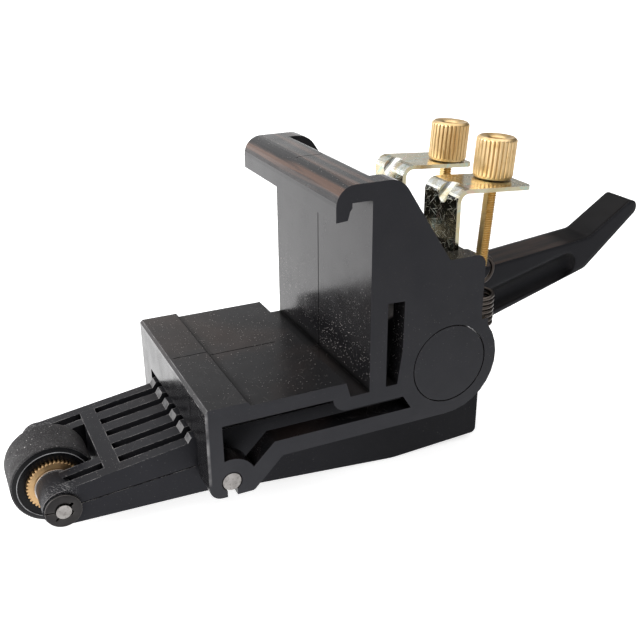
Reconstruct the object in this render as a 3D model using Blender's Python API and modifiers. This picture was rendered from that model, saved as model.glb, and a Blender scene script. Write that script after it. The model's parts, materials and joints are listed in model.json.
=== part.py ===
"""Spring-loaded pinch roller assembly with a lifting lever.

Axes: -X towards the roller, +X towards the lever, +Z up, symmetric about y = 0.
Origin: on the front face of the rail wall, on the mid-plane, level with the top of the box deck.
The values below are millimetres, and the helpers scale them to metres.
"""
import math

import bmesh
import bpy
from mathutils import Matrix, Vector

MM = 0.001
ARC_STEP = math.radians(12)
FIT = 0.3                       # running clearance between neighbouring pieces
THROUGH = 40                    # half length of a tool that cuts through the whole width
TUCK = 0.1                      # faces that would lie in one plane are set apart by this

# Housing
PLATE_OUT = 30.75               # outer face of a side plate, from the mid-plane
PLATE_IN = 24.9
CORE_HALF = 25.2                # the core runs a little way into both side plates
BOX_FRONT = -45.8
BOX_WALL = 4.2
FOOT_Z = -25.3
OPENING_HALF = 21.8             # opening in the front wall that the arm comes through
OPENING_TOP = -11.2
WALL_BACK = 3.5
WALL_TOP = 53.2
HOOK_UNDER = 48.65
SHELF_Z = 29.4
PLATE_REAR = 34.8
BOSS_X = 24.75                  # the plate's round rear end stands a little forward of the cam axis
BOSS_R = 15.6
LEDGE_END = 37.05               # small ledge where the rear edge meets the round end
LEDGE_Z = 10.3
POST_FRONT = 27.2
POST_INNER = 6.3
POST_BOTTOM = 12.5
POST_TOP = 28.0
JAMB_REAR = -41.7
FRONT_LIP_Z = -11.0             # top of the jambs, just inside the box's front wall
FOOT_ROUND = 3.4
SEAM_Y = 1.0
SEAM_WIDTH = 0.35
SEAM_DEPTH = 0.25
FRONT_SEAM_Z = -18.2

# Pivot pin
PIVOT_X = -39.7
PIVOT_Z = -21.0
PIVOT_R = 2.5
SNAP_SLOT = 2.7
FLUSH = 0.05                    # a flush end stands this far inside the plate's face

# Lever, cam and journals
CAM_X = 25.1
CAM_Z = -1.3
JOURNAL_R = 11.3
HUB_R = 11.5
LEVER_HALF = 5.6
LEVER_BEND_TOP = (93.3, 17.8)
LEVER_BEND_LOW = (92.5, 7.4)
LEVER_TIP_X = 111.4
LEVER_TIP_TOP = 29.7
LEVER_TIP_LOW = 24.1
COVE_R = 5.2                    # round channel along each side of the lever
COVE_Y = 8.9
LOBE_R = 11.4
LOBE_OFFSET = 6.2
CAM_HALF = 16.6
COLLAR_R = 9.0
SPIGOT_R = 6.0
SPIGOT_END = 8.0

# Roller arm
ARM_HALF = 18.8
ARM_WALL = 3.4
SLOT_WIDTH = 2.8
SLOT_PITCH = 7.0
CROSSBAR_FRONT = -69.0
CROSSBAR_REAR = -64.8
PIVOT_BLOCK_FRONT = -44.5
PIVOT_BLOCK_REAR = -33.5
DECK_Z = -12.3
PAD_Z = -13.5
PAD_FRONT = 9.0
DECK_REAR = 38.0
DECK_THICK = 3.0
KEEL_HALF = 1.0
KEEL_BOTTOM = -31.0
CROSS_RIB_X = (-15.0, 3.0, 21.0)
CROSS_RIB_THICK = 2.0
CROSS_RIB_BOTTOM = -30.0
PIVOT_BOSS_R = 4.6
PIVOT_BOSS_OUT = 21.5
ARM_PARTING = ((-76.4, -24.15), (BOX_FRONT, -21.7))     # parting line along each side
ANCHOR_SHELF_Z = (-19.0, -16.5)
ANCHOR_TAB_Y = (9.8, 13.8)
ANCHOR_TAB_HALF = 1.0
ANCHOR_TAB_TOP = -9.2
AXLE_X = -80.8
AXLE_Z = -24.3
AXLE_R = 1.95
AXLE_HALF = 20.3
AXLE_BOSS_R = 5.0
AXLE_BOSS_IN = 8.5

# Roller
TYRE_R = 11.1
TYRE_HALF = 7.0
TYRE_TREAD_HALF = 6.3
TYRE_CHAMFER_R = 9.65
ROLLER_HUB_R = 7.1
ROLLER_HUB_HALF = 7.6
ROLLER_HUB_TEETH = 48
TOOTH_DEPTH = 0.35
WASHER_R = 5.3
WASHER_THICK = 0.6
RETAINER_R = 4.65
RETAINER_THICK = 0.8

# Brackets, rods, nuts and springs
BRACKET_X = 30.0                # front face of the upright leg
SHEET = 1.2
BRACKET_IN = 6.2
BRACKET_OUT = 22.8
LEG_BOTTOM = 16.5
BRACKET_TOP = 45.2              # top of the tab where the bend ends
BEND_R = 3.5
TAB_END = 54.7
ADJUST_X = 48.7                 # where the rod's axis meets the top of the tab
ADJUST_Y = 11.8
TILT = math.radians(4.2)
ROD_R = 2.1
ROD_FLAT = 1.3
ROD_BOTTOM = -26.3
ROD_TOP = 8.5
ROD_HOLE_Z = -23.7
ROD_HOLE_R = 1.0
RIB_Y = 15.5                    # stiffening rib pressed into the bend at 45 degrees
RIB_R = 2.4
RIB_BOTTOM = (30.0, 40.2)
NUT_R = 5.7
NUT_HEIGHT = 11.5
NUT_KNURLS = 28
NUT_BORE = 2.4
SPRING_X = 47.15
SPRING_R = 4.15
WIRE_R = 0.6
COIL_TOP = 9.6
COIL_BOTTOM = -0.55
COIL_TURNS = 7
COIL_STEPS = 12                 # points in one turn
NECK = 2.4                      # height over which the wire goes from the coil to a loop
TOP_LOOP = (47.15, 16.35, 4.2)  # centre x, centre z and radius of the wire
LOW_LOOP = (47.15, -7.2, 4.2)
ANCHOR_HOLE_R = 1.1

SIDES = (("left", -1), ("right", 1))

# Quarter turns written out, so that they are exact
UPRIGHT = Matrix(((1, 0, 0, 0), (0, 0, -1, 0), (0, 1, 0, 0), (0, 0, 0, 1)))     # local Y to +Z
ALONG_Y = Matrix(((1, 0, 0, 0), (0, 0, 1, 0), (0, -1, 0, 0), (0, 0, 0, 1)))     # local Z to +Y
ALONG_X = Matrix(((0, 0, 1, 0), (0, 1, 0, 0), (-1, 0, 0, 0), (0, 0, 0, 1)))     # local Z to +X


def clear_scene():
    for item in list(bpy.data.objects):
        bpy.data.objects.remove(item, do_unlink=True)
    for group in list(bpy.data.collections):
        bpy.data.collections.remove(group)


def make_collection(name):
    group = bpy.data.collections.new(name)
    bpy.context.scene.collection.children.link(group)
    return group


clear_scene()
PARTS = make_collection("pinch_roller_assembly")
TOOLS = make_collection("shaping_tools")


def make_material(name, colour, roughness, metallic=0.0):
    material = bpy.data.materials.new(name)
    material.use_nodes = True
    shader = material.node_tree.nodes["Principled BSDF"]
    shader.inputs["Base Color"].default_value = (*colour, 1.0)
    shader.inputs["Roughness"].default_value = roughness
    shader.inputs["Metallic"].default_value = metallic
    return material


# Outlines ----------------------------------------------------------------------------------------

def arc(centre_x, centre_z, radius, start, end):
    """Points on an arc from the start angle to the end angle, in degrees."""
    first, last = math.radians(start), math.radians(end)
    steps = max(2, math.ceil(abs(last - first) / ARC_STEP))
    angles = [first + (last - first) * i / steps for i in range(steps + 1)]
    return [(centre_x + radius * math.cos(a), centre_z + radius * math.sin(a)) for a in angles]


def rounded(corners):
    """Points of an outline given as (x, z, corner radius), each rounded corner as an arc."""
    points = []
    for i, (x, z, radius) in enumerate(corners):
        if radius == 0:
            points.append((x, z))
            continue
        corner = Vector((x, z))
        before = (Vector(corners[i - 1][:2]) - corner).normalized()
        after = (Vector(corners[(i + 1) % len(corners)][:2]) - corner).normalized()
        half = before.angle(after) / 2
        centre = corner + (before + after).normalized() * radius / math.sin(half)
        start = corner + before * radius / math.tan(half) - centre
        end = corner + after * radius / math.tan(half) - centre
        first = math.atan2(start.y, start.x)
        turn = math.atan2(start.x * end.y - start.y * end.x, start.dot(end))
        points += arc(centre.x, centre.y, radius, math.degrees(first), math.degrees(first + turn))
    return points


def plain(points):
    """Corners with no rounding, from plain points."""
    return [(x, z, 0) for x, z in points]


def circle(centre_x, centre_z, radius, count=36):
    angles = [2 * math.pi * i / count for i in range(count)]
    return [(centre_x + radius * math.cos(a), centre_z + radius * math.sin(a)) for a in angles]


def toothed(radius, depth, teeth):
    """Outline of a straight knurl: a flat crest and a flat root for each tooth."""
    points = []
    for i in range(teeth):
        for offset, r in ((0.05, radius), (0.45, radius), (0.6, radius - depth), (0.9, radius - depth)):
            angle = 2 * math.pi * (i + offset) / teeth
            points.append((r * math.cos(angle), r * math.sin(angle)))
    return points


def double_d(radius, half_flat):
    """Round bar outline with two flats that face +X and -X."""
    limit = math.degrees(math.acos(half_flat / radius))
    return arc(0, 0, radius, limit, 180 - limit) + arc(0, 0, radius, 180 + limit, 360 - limit)


# Solids ------------------------------------------------------------------------------------------

def snap(mesh):
    """Round every coordinate, so that faces drawn in one plane share exactly one plane."""
    for vert in mesh.vertices:
        vert.co = [round(value / MM, 4) * MM for value in vert.co]


def curve_to_mesh(curve_object):
    """Replace a curve object by a closed mesh object, with its place in the mesh itself."""
    bpy.context.view_layer.update()
    evaluated = curve_object.evaluated_get(bpy.context.evaluated_depsgraph_get())
    mesh = bpy.data.meshes.new_from_object(evaluated)
    shape = bmesh.new()
    shape.from_mesh(mesh)
    bmesh.ops.remove_doubles(shape, verts=shape.verts, dist=0.001 * MM)
    bmesh.ops.recalc_face_normals(shape, faces=shape.faces)
    shape.to_mesh(mesh)
    shape.free()
    name = curve_object.name
    mesh.transform(curve_object.matrix_world)
    snap(mesh)
    bpy.data.objects.remove(curve_object, do_unlink=True)
    mesh_object = bpy.data.objects.new(name, mesh)
    PARTS.objects.link(mesh_object)
    return mesh_object


def outline_solid(name, loops, low, high, place):
    """Solid from flat loops, extruded from low to high along the local Z axis."""
    curve = bpy.data.curves.new(name, "CURVE")
    curve.dimensions = "2D"
    curve.fill_mode = "BOTH"
    curve.extrude = (high - low) / 2 * MM
    for loop in loops:
        spline = curve.splines.new("POLY")
        spline.points.add(len(loop) - 1)
        for point, (x, y) in zip(spline.points, loop):
            point.co = (x * MM, y * MM, 0, 1)
        spline.use_cyclic_u = True
    curve_object = bpy.data.objects.new(name, curve)
    PARTS.objects.link(curve_object)
    curve_object.matrix_world = place @ Matrix.Translation((0, 0, (low + high) / 2 * MM))
    return curve_to_mesh(curve_object)


def side_solid(name, loops, y_low, y_high):
    """Solid whose outline is seen from the side: loops in x and z, thickness along y."""
    return outline_solid(name, loops, -y_high, -y_low, UPRIGHT)


def box(name, x, y, z):
    """Box from three (low, high) pairs."""
    shape = bmesh.new()
    bmesh.ops.create_cube(shape, size=1)
    size = [(high - low) * MM for low, high in (x, y, z)]
    middle = [(high + low) / 2 * MM for low, high in (x, y, z)]
    bmesh.ops.scale(shape, vec=size, verts=shape.verts)
    bmesh.ops.translate(shape, vec=middle, verts=shape.verts)
    mesh = bpy.data.meshes.new(name)
    shape.to_mesh(mesh)
    shape.free()
    snap(mesh)
    item = bpy.data.objects.new(name, mesh)
    PARTS.objects.link(item)
    return item


def cross_bar(name, centre_x, centre_z, radius, y_low, y_high, count=36):
    """Round bar along y."""
    return side_solid(name, [circle(centre_x, centre_z, radius, count)], y_low, y_high)


def turned(name, profile, place, steps=48):
    """Body turned about the local Z axis; the (radius, height) profile runs down its outer side."""
    mesh = bpy.data.meshes.new(name)
    shape = bmesh.new()
    ring = [shape.verts.new((r * MM, 0, h * MM)) for r, h in profile]
    for i, vert in enumerate(ring):
        shape.edges.new((vert, ring[(i + 1) % len(ring)]))
    shape.to_mesh(mesh)
    shape.free()
    item = bpy.data.objects.new(name, mesh)
    PARTS.objects.link(item)
    screw = item.modifiers.new("Turn", "SCREW")
    screw.steps = steps
    screw.render_steps = steps
    screw.use_merge_vertices = True
    screw.merge_threshold = 0.00001
    item.matrix_world = place
    return item


def combine(base, others, operation):
    """Join others to the base, cut them from it, or keep only what they share."""
    group = bpy.data.collections.new(base.name + "_" + operation.lower())
    TOOLS.children.link(group)
    for other in others:
        PARTS.objects.unlink(other)
        group.objects.link(other)
        other.hide_render = True
        other.display_type = "WIRE"
    modifier = base.modifiers.new(operation.title(), "BOOLEAN")
    modifier.operation = operation
    modifier.solver = "EXACT"
    modifier.operand_type = "COLLECTION"
    modifier.collection = group
    return base


def finish(item, material, origin=None):
    """Give a piece its material, put its origin on its joint's axis and shade it."""
    bpy.context.view_layer.update()
    evaluated = item.evaluated_get(bpy.context.evaluated_depsgraph_get())
    mesh = bpy.data.meshes.new_from_object(evaluated)
    mesh.transform(item.matrix_world)
    item.modifiers.clear()
    if origin:
        mesh.transform(Matrix.Translation(-Vector(origin) * MM))
    item.data = mesh
    item.matrix_world = Matrix.Translation(Vector(origin or (0, 0, 0)) * MM)
    mesh.materials.clear()
    mesh.materials.append(material)
    mesh.shade_smooth()
    mesh.set_sharp_from_angle(angle=math.radians(35))
    return item


# Housing -----------------------------------------------------------------------------------------

def seat_corners():
    """Corners that the side plates and the core share: box deck, groove, rail wall and hook."""
    return [
        (BOX_FRONT, 0.36, 0), (-45.0, 1.16, 0), (-34.4, 1.16, 0), (-33.8, 0, 0),
        (-6.9, 0, 0), (-5.65, -4.3, 0), (0, -4.3, 0), (0, HOOK_UNDER, 0),
        (-5.6, HOOK_UNDER, 0), (-5.6, 47.4, 0), (-6.2, 46.6, 0), (-6.8, 44.4, 0),
        (-10, 44.15, 0), (-10, WALL_TOP, 5.2),
    ]


def side_plate_loops():
    boss_top = math.degrees(math.acos((LEDGE_END - BOSS_X) / BOSS_R))
    outer = seat_corners() + [(8.2, WALL_TOP, 6.5), (23.5, SHELF_Z, 1.0), (PLATE_REAR, SHELF_Z, 2.8)]
    outer += [(PLATE_REAR, LEDGE_Z, 0.5), (LEDGE_END, LEDGE_Z, 0.5)]
    outer += plain(arc(BOSS_X, CAM_Z, BOSS_R, boss_top, -90))
    outer += [(-25.4, CAM_Z - BOSS_R, 1.0), (-33.7, FOOT_Z, 1.5), (BOX_FRONT, FOOT_Z, FOOT_ROUND)]
    window = [(-41.6, -BOX_WALL), (-10.8, -BOX_WALL)]
    window += arc(-6.6, -3.9, 4.2, 180, 270)
    window += [(10.5, -8.1), (13.1, -12.2), (-27.6, -12.2)]
    window += arc(PIVOT_X, PIVOT_Z, 6.7, 25, 105.6)
    slot = [(5.1, 20.4), (5.0, -3.8), (8.5, -3.8), (9.9, 6.2), (10.1, 20.2)]
    bore = circle(CAM_X, CAM_Z, JOURNAL_R + FIT, 48)
    return [rounded(outer), window, slot, bore]


def core_loop():
    corners = seat_corners() + [(WALL_BACK, WALL_TOP, 2.0), (WALL_BACK, -8.1, 0)]
    corners += plain(arc(-6.6, -3.9, 4.2, 270, 180))
    corners += [(-10.8, -BOX_WALL, 0), (-41.6, -BOX_WALL, 0)]
    corners += [(-41.6, OPENING_TOP, 0), (BOX_FRONT, OPENING_TOP, 0)]
    return rounded(corners)


def housing():
    frame = side_solid("housing", [core_loop()], -CORE_HALF, CORE_HALF)
    joined = []
    for side, sign in SIDES:
        y_plate = sorted((sign * PLATE_IN, sign * PLATE_OUT))
        joined.append(side_solid("side_plate_" + side, side_plate_loops(), *y_plate))
        y_jamb = sorted((sign * OPENING_HALF, sign * (CORE_HALF - TUCK)))
        jamb = rounded([
            (BOX_FRONT, FRONT_LIP_Z, 0), (BOX_FRONT, FOOT_Z, FOOT_ROUND),
            (JAMB_REAR, FOOT_Z, 0), (JAMB_REAR, FRONT_LIP_Z, 0),
        ])
        joined.append(side_solid("jamb_" + side, [jamb], *y_jamb))
        y_post = sorted((sign * POST_INNER, sign * CORE_HALF))
        joined.append(box("bracket_post_" + side, (POST_FRONT, 34.0), y_post, (POST_BOTTOM, POST_TOP)))
    combine(frame, joined, "UNION")
    seam = (SEAM_Y - SEAM_WIDTH / 2, SEAM_Y + SEAM_WIDTH / 2)
    snap_slot = (PIVOT_X - SNAP_SLOT / 2, PIVOT_X + SNAP_SLOT / 2)
    front_seam = (FRONT_SEAM_Z, FRONT_SEAM_Z + SEAM_WIDTH)
    cuts = [
        cross_bar("pin_bore", PIVOT_X, PIVOT_Z, PIVOT_R + FIT, -THROUGH, THROUGH),
        box("snap_slot", snap_slot, (-THROUGH, THROUGH), (FOOT_Z - 5, PIVOT_Z)),
        box("deck_seam", (-44.3, -14), seam, (-SEAM_DEPTH, 3)),
        box("wall_seam", (-3, SEAM_DEPTH), seam, (-4.0, 48.4)),
        box("hook_seam", (-8, 1.5), seam, (WALL_TOP - SEAM_DEPTH, WALL_TOP + 5)),
        box("front_seam", (BOX_FRONT - 5, BOX_FRONT + SEAM_DEPTH), front_seam, (-10.6, -0.6)),
    ]
    for side, sign in SIDES:
        y_leg = sorted((sign * (BRACKET_IN - FIT), sign * (BRACKET_OUT + FIT)))
        x_leg = (BRACKET_X - FIT, BRACKET_X + SHEET + FIT)
        cuts.append(box("leg_slot_" + side, x_leg, y_leg, (LEG_BOTTOM - FIT, 40)))
    combine(frame, cuts, "DIFFERENCE")
    return finish(frame, BLACK_HOUSING)


def pivot_pin():
    half = PLATE_OUT - FLUSH
    pin = cross_bar("pivot_pin", PIVOT_X, PIVOT_Z, PIVOT_R, -half, half)
    return finish(pin, STEEL, (PIVOT_X, 0, PIVOT_Z))


# Lever and cam -----------------------------------------------------------------------------------

def lever_loop():
    corners = plain(arc(CAM_X, CAM_Z, HUB_R, 110, 309))
    corners += [(*LEVER_BEND_LOW, 4), (LEVER_TIP_X, LEVER_TIP_LOW, 2.2), (LEVER_TIP_X, LEVER_TIP_TOP, 2.2)]
    corners += [(*LEVER_BEND_TOP, 4), (30, 11.67, 6)]
    return rounded(corners)


def lever_cove(name, sign):
    """Tool for a shallow round-bottomed channel along one side of the lever, with a round front end."""
    start = Vector((34.0, sign * COVE_Y, -3.2)) * MM
    end = Vector((84.6, sign * COVE_Y, 9.6)) * MM
    shape = bmesh.new()
    bmesh.ops.create_uvsphere(shape, u_segments=32, v_segments=16, radius=COVE_R * MM)
    rear = [vert for vert in shape.verts if vert.co.z < -0.01 * MM]
    bmesh.ops.translate(shape, vec=(0, 0, -(end - start).length), verts=rear)
    mesh = bpy.data.meshes.new(name)
    shape.to_mesh(mesh)
    shape.free()
    turn = (end - start).to_track_quat("Z", "Y").to_matrix().to_4x4()
    mesh.transform(Matrix.Translation(end) @ turn)
    tool = bpy.data.objects.new(name, mesh)
    PARTS.objects.link(tool)
    return tool


def lever_cam():
    lever = side_solid("lever_cam", [lever_loop()], -LEVER_HALF, LEVER_HALF)
    joined = []
    cuts = [cross_bar("hub_bore", CAM_X, CAM_Z, SPIGOT_R + FIT, -THROUGH, THROUGH)]
    for side, sign in SIDES:
        y_lobe = sorted((sign * (LEVER_HALF - 0.4), sign * CAM_HALF))
        joined.append(cross_bar("lobe_" + side, CAM_X - LOBE_OFFSET, CAM_Z, LOBE_R, *y_lobe, count=48))
        joined.append(cross_bar("cam_hub_" + side, CAM_X, CAM_Z, COLLAR_R, *y_lobe))
        cuts.append(lever_cove("cove_" + side, sign))
    combine(lever, joined, "UNION")
    combine(lever, cuts, "DIFFERENCE")
    return finish(lever, BLACK_LEVER, (CAM_X, 0, CAM_Z))


def journal(side, sign):
    """Plug that turns in a side plate: a flush disc, a collar and a spigot in the cam's bore."""
    def span(near, far):
        return sorted((sign * near, sign * far))
    y_disc = span(PLATE_IN - FIT, PLATE_OUT - FLUSH)
    disc = cross_bar("journal_" + side, CAM_X, CAM_Z, JOURNAL_R, *y_disc, count=48)
    collar = cross_bar("collar_" + side, CAM_X, CAM_Z, COLLAR_R, *span(CAM_HALF + FIT, PLATE_IN))
    spigot = cross_bar("spigot_" + side, CAM_X, CAM_Z, SPIGOT_R, *span(SPIGOT_END, CAM_HALF + 1))
    combine(disc, [collar, spigot], "UNION")
    return finish(disc, BLACK_HOUSING, (CAM_X, 0, CAM_Z))


# Roller arm --------------------------------------------------------------------------------------

def arm_top(x):
    """Height of the arm's sloping top in front of the housing."""
    return -14 + 0.146 * (x - BOX_FRONT)


def arm_wall_loop():
    corners = plain(arc(AXLE_X, AXLE_Z, AXLE_BOSS_R, 270, 98))
    corners += [(-47.3, arm_top(-47.3), 0), (-46.3, -12.7, 0), (-33, DECK_Z, 0), (PAD_FRONT - 1.2, DECK_Z, 0)]
    corners += [(PAD_FRONT, PAD_Z, 0), (DECK_REAR, PAD_Z, 0), (44.2, -20, 1.0), (44.2, -34.5, 1.6)]
    corners += [(14.7, -35.9, 20), (-27.8, -32.3, 30), (-42.7, -30.2, 30)]
    return rounded(corners)


def parting_line_loop():
    """Thin groove that runs along the arm's side from the axle to the housing."""
    lower = list(ARM_PARTING)
    upper = [(x, z + SEAM_WIDTH) for x, z in reversed(ARM_PARTING)]
    return lower + upper


def rib_loop(front, rear, bottom):
    return [
        (front, arm_top(front) - 0.1), (-47.4, arm_top(-47.4) - 0.1), (-46.4, -12.8), (rear, -12.75),
        (rear, bottom), (front, bottom),
    ]


def roller_arm():
    arm = side_solid("roller_arm", [arm_wall_loop()], -ARM_HALF, ARM_WALL - ARM_HALF)
    inner = ARM_HALF - ARM_WALL + 0.4
    crossbar = [
        (CROSSBAR_FRONT, arm_top(CROSSBAR_FRONT) - 0.05), (CROSSBAR_REAR, arm_top(CROSSBAR_REAR) - 0.05),
        (CROSSBAR_REAR, -27.5), (CROSSBAR_FRONT, -27.5),
    ]
    block = rounded([
        (PIVOT_BLOCK_FRONT, -12.65, 0), (PIVOT_BLOCK_REAR, -12.55, 0),
        (PIVOT_BLOCK_REAR, -28.5, 2), (PIVOT_BLOCK_FRONT, -28.5, 2),
    ])
    joined = [
        side_solid("far_wall", [arm_wall_loop()], ARM_HALF - ARM_WALL, ARM_HALF),
        side_solid("crossbar", [crossbar], -inner, inner),
        side_solid("pivot_block", [block], -inner, inner),
        box("rear_deck", (-34.5, PAD_FRONT), (-inner, inner), (DECK_Z - DECK_THICK, DECK_Z - 0.1)),
        box("cam_pad", (PAD_FRONT - 1, DECK_REAR), (-inner, inner), (PAD_Z - DECK_THICK, PAD_Z)),
        box("end_wall", (DECK_REAR - 0.5, DECK_REAR + 2.5), (-inner, inner), (-33.5, PAD_Z)),
    ]
    joined.append(box("keel", (-34.5, DECK_REAR), (-KEEL_HALF, KEEL_HALF), (KEEL_BOTTOM, PAD_Z - 1.5)))
    for x in CROSS_RIB_X:
        z_rib = (CROSS_RIB_BOTTOM, PAD_Z - 1)
        joined.append(box("cross_rib", (x, x + CROSS_RIB_THICK), (-inner, inner), z_rib))
    for side, sign in SIDES:
        def span(near, far):
            return sorted((sign * near, sign * far))
        front_wall = [
            (AXLE_X, arm_top(AXLE_X) - 0.6), (CROSSBAR_REAR - 1.6, arm_top(CROSSBAR_REAR - 1.6) - 0.1),
            (CROSSBAR_REAR - 1.6, -28.6), (AXLE_X, -28.6),
        ]
        joined.append(side_solid("front_wall_" + side, [front_wall], *span(9.3, 12.5)))
        y_boss = span(AXLE_BOSS_IN, ARM_HALF - 4 * TUCK)
        joined.append(cross_bar("axle_boss_" + side, AXLE_X, AXLE_Z, AXLE_BOSS_R, *y_boss))
        y_pivot = span(ARM_HALF - 1, PIVOT_BOSS_OUT)
        joined.append(cross_bar("pivot_boss_" + side, PIVOT_X, PIVOT_Z, PIVOT_BOSS_R, *y_pivot))
        for middle in (SLOT_PITCH / 2, SLOT_PITCH * 1.5):
            half = (SLOT_PITCH - SLOT_WIDTH) / 2
            rib = rib_loop(CROSSBAR_REAR - 1.1, PIVOT_BLOCK_FRONT + 0.7, -26)
            joined.append(side_solid("rib_" + side, [rib], *span(middle - half, middle + half)))
        tab_x = (LOW_LOOP[0] - ANCHOR_TAB_HALF, LOW_LOOP[0] + ANCHOR_TAB_HALF)
        tab_z = (ANCHOR_SHELF_Z[0] + TUCK, ANCHOR_TAB_TOP)
        y_shelf = span(ANCHOR_TAB_Y[0] - 0.5, inner)
        joined.append(box("anchor_shelf_" + side, (DECK_REAR + 1, tab_x[1] + TUCK), y_shelf, ANCHOR_SHELF_Z))
        joined.append(box("anchor_tab_" + side, tab_x, span(*ANCHOR_TAB_Y), tab_z))
    combine(arm, joined, "UNION")
    cuts = [
        cross_bar("axle_bore", AXLE_X, AXLE_Z, AXLE_R + FIT, -THROUGH, THROUGH),
        cross_bar("pivot_bore", PIVOT_X, PIVOT_Z, PIVOT_R + FIT, -THROUGH, THROUGH),
    ]
    for side, sign in SIDES:
        y_groove = sorted((sign * (ARM_HALF - SEAM_DEPTH), sign * (ARM_HALF + 1)))
        cuts.append(side_solid("parting_line_" + side, [parting_line_loop()], *y_groove))
        turn = Matrix.Translation((0, sign * ADJUST_Y * MM, 0)) @ ALONG_X
        hole = circle(-(LOW_LOOP[1] - LOW_LOOP[2]), 0, ANCHOR_HOLE_R, 20)
        cuts.append(outline_solid("anchor_hole_" + side, [hole], 45, 50, turn))
    combine(arm, cuts, "DIFFERENCE")
    return finish(arm, BLACK_ARM, (PIVOT_X, 0, PIVOT_Z))


# Roller ------------------------------------------------------------------------------------------

def axle_place():
    """Local Z along +Y, on the axle's centre."""
    return Matrix.Translation((AXLE_X * MM, 0, AXLE_Z * MM)) @ ALONG_Y


def roller_tyre():
    bore = ROLLER_HUB_R + FIT
    profile = [
        (bore, TYRE_HALF), (TYRE_CHAMFER_R, TYRE_HALF), (TYRE_R - 0.25, TYRE_TREAD_HALF + 0.25),
        (TYRE_R, TYRE_TREAD_HALF), (TYRE_R, -TYRE_TREAD_HALF), (TYRE_R - 0.25, -TYRE_TREAD_HALF - 0.25),
        (TYRE_CHAMFER_R, -TYRE_HALF), (bore, -TYRE_HALF),
    ]
    tyre = turned("roller_tyre", profile, axle_place(), steps=60)
    return finish(tyre, RUBBER, (AXLE_X, 0, AXLE_Z))


def roller_hub():
    loops = [toothed(ROLLER_HUB_R, TOOTH_DEPTH, ROLLER_HUB_TEETH), circle(0, 0, AXLE_R + FIT, 32)]
    hub = outline_solid("roller_hub", loops, -ROLLER_HUB_HALF, ROLLER_HUB_HALF, axle_place())
    return finish(hub, BRASS, (AXLE_X, 0, AXLE_Z))


def axle_pin():
    pin = cross_bar("axle_pin", AXLE_X, AXLE_Z, AXLE_R, -AXLE_HALF, AXLE_HALF, count=32)
    return finish(pin, STEEL, (AXLE_X, 0, AXLE_Z))


def axle_washer(side, sign):
    y_span = sorted((sign * (ROLLER_HUB_HALF + FIT), sign * (ROLLER_HUB_HALF + FIT + WASHER_THICK)))
    loops = [circle(AXLE_X, AXLE_Z, WASHER_R), circle(AXLE_X, AXLE_Z, AXLE_R + FIT, 32)]
    return finish(side_solid("axle_washer_" + side, loops, *y_span), STEEL, (AXLE_X, 0, AXLE_Z))


def axle_retainer(side, sign):
    """Push-on ring on the end of the axle, with three notches in its bore."""
    near = ARM_HALF + FIT
    y_span = sorted((sign * near, sign * (near + RETAINER_THICK)))
    bore = []
    for third in range(3):
        start = 120 * third
        bore += arc(AXLE_X, AXLE_Z, AXLE_R + FIT, start, start + 95)
        bore += arc(AXLE_X, AXLE_Z, RETAINER_R - 0.7, start + 100, start + 115)
    loops = [circle(AXLE_X, AXLE_Z, RETAINER_R), bore]
    return finish(side_solid("axle_retainer_" + side, loops, *y_span), BLACK_ARM, (AXLE_X, 0, AXLE_Z))


# Brackets, rods, nuts and springs ----------------------------------------------------------------

def adjust_place(sign):
    """Local Z along the tilted rod, from the top of the bracket's tab."""
    x, z = adjust_point()
    return Matrix.Translation((x * MM, sign * ADJUST_Y * MM, z * MM)) @ Matrix.Rotation(TILT, 4, "Y")


def adjust_point():
    bend_end = BRACKET_X + BEND_R
    return ADJUST_X, BRACKET_TOP - math.tan(TILT) * (ADJUST_X - bend_end)


def bracket_loop():
    """Bent sheet seen from the side: an upright leg, a bend and a tab that droops by the tilt."""
    droop = math.tan(TILT)
    bend_end = BRACKET_X + BEND_R
    reach = TAB_END + 4 - bend_end
    corners = [
        (BRACKET_X, LEG_BOTTOM, 0), (BRACKET_X, BRACKET_TOP + droop * BEND_R, BEND_R),
        (bend_end + reach, BRACKET_TOP - droop * reach, 0),
        (bend_end + reach, BRACKET_TOP - droop * reach - SHEET, 0),
        (BRACKET_X + SHEET, BRACKET_TOP + droop * BEND_R - SHEET - droop * SHEET, BEND_R - SHEET),
        (BRACKET_X + SHEET, LEG_BOTTOM, 0),
    ]
    return rounded(corners)


def rib_place(sign):
    """Local Z along the rib pressed across the bend at 45 degrees, a rib radius outside its bottom."""
    reach = RIB_R * math.sqrt(0.5)
    x, z = RIB_BOTTOM
    centre = Matrix.Translation(((x - reach) * MM, sign * RIB_Y * MM, (z + reach) * MM))
    return centre @ Matrix.Rotation(math.radians(45), 4, "Y")


def bend_backing():
    """Space behind the outside of the bend, which the back of the pressed rib keeps within."""
    droop = math.tan(TILT)
    front = BRACKET_X + TUCK
    top = BRACKET_TOP + droop * BEND_R - TUCK
    rear = BRACKET_X + 4 * BEND_R
    bottom = BRACKET_TOP - 3 * BEND_R
    corners = [(front, bottom, 0), (front, top, BEND_R - TUCK)]
    corners += [(rear, top - droop * (rear - front), 0), (rear, bottom, 0)]
    return rounded(corners)


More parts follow.
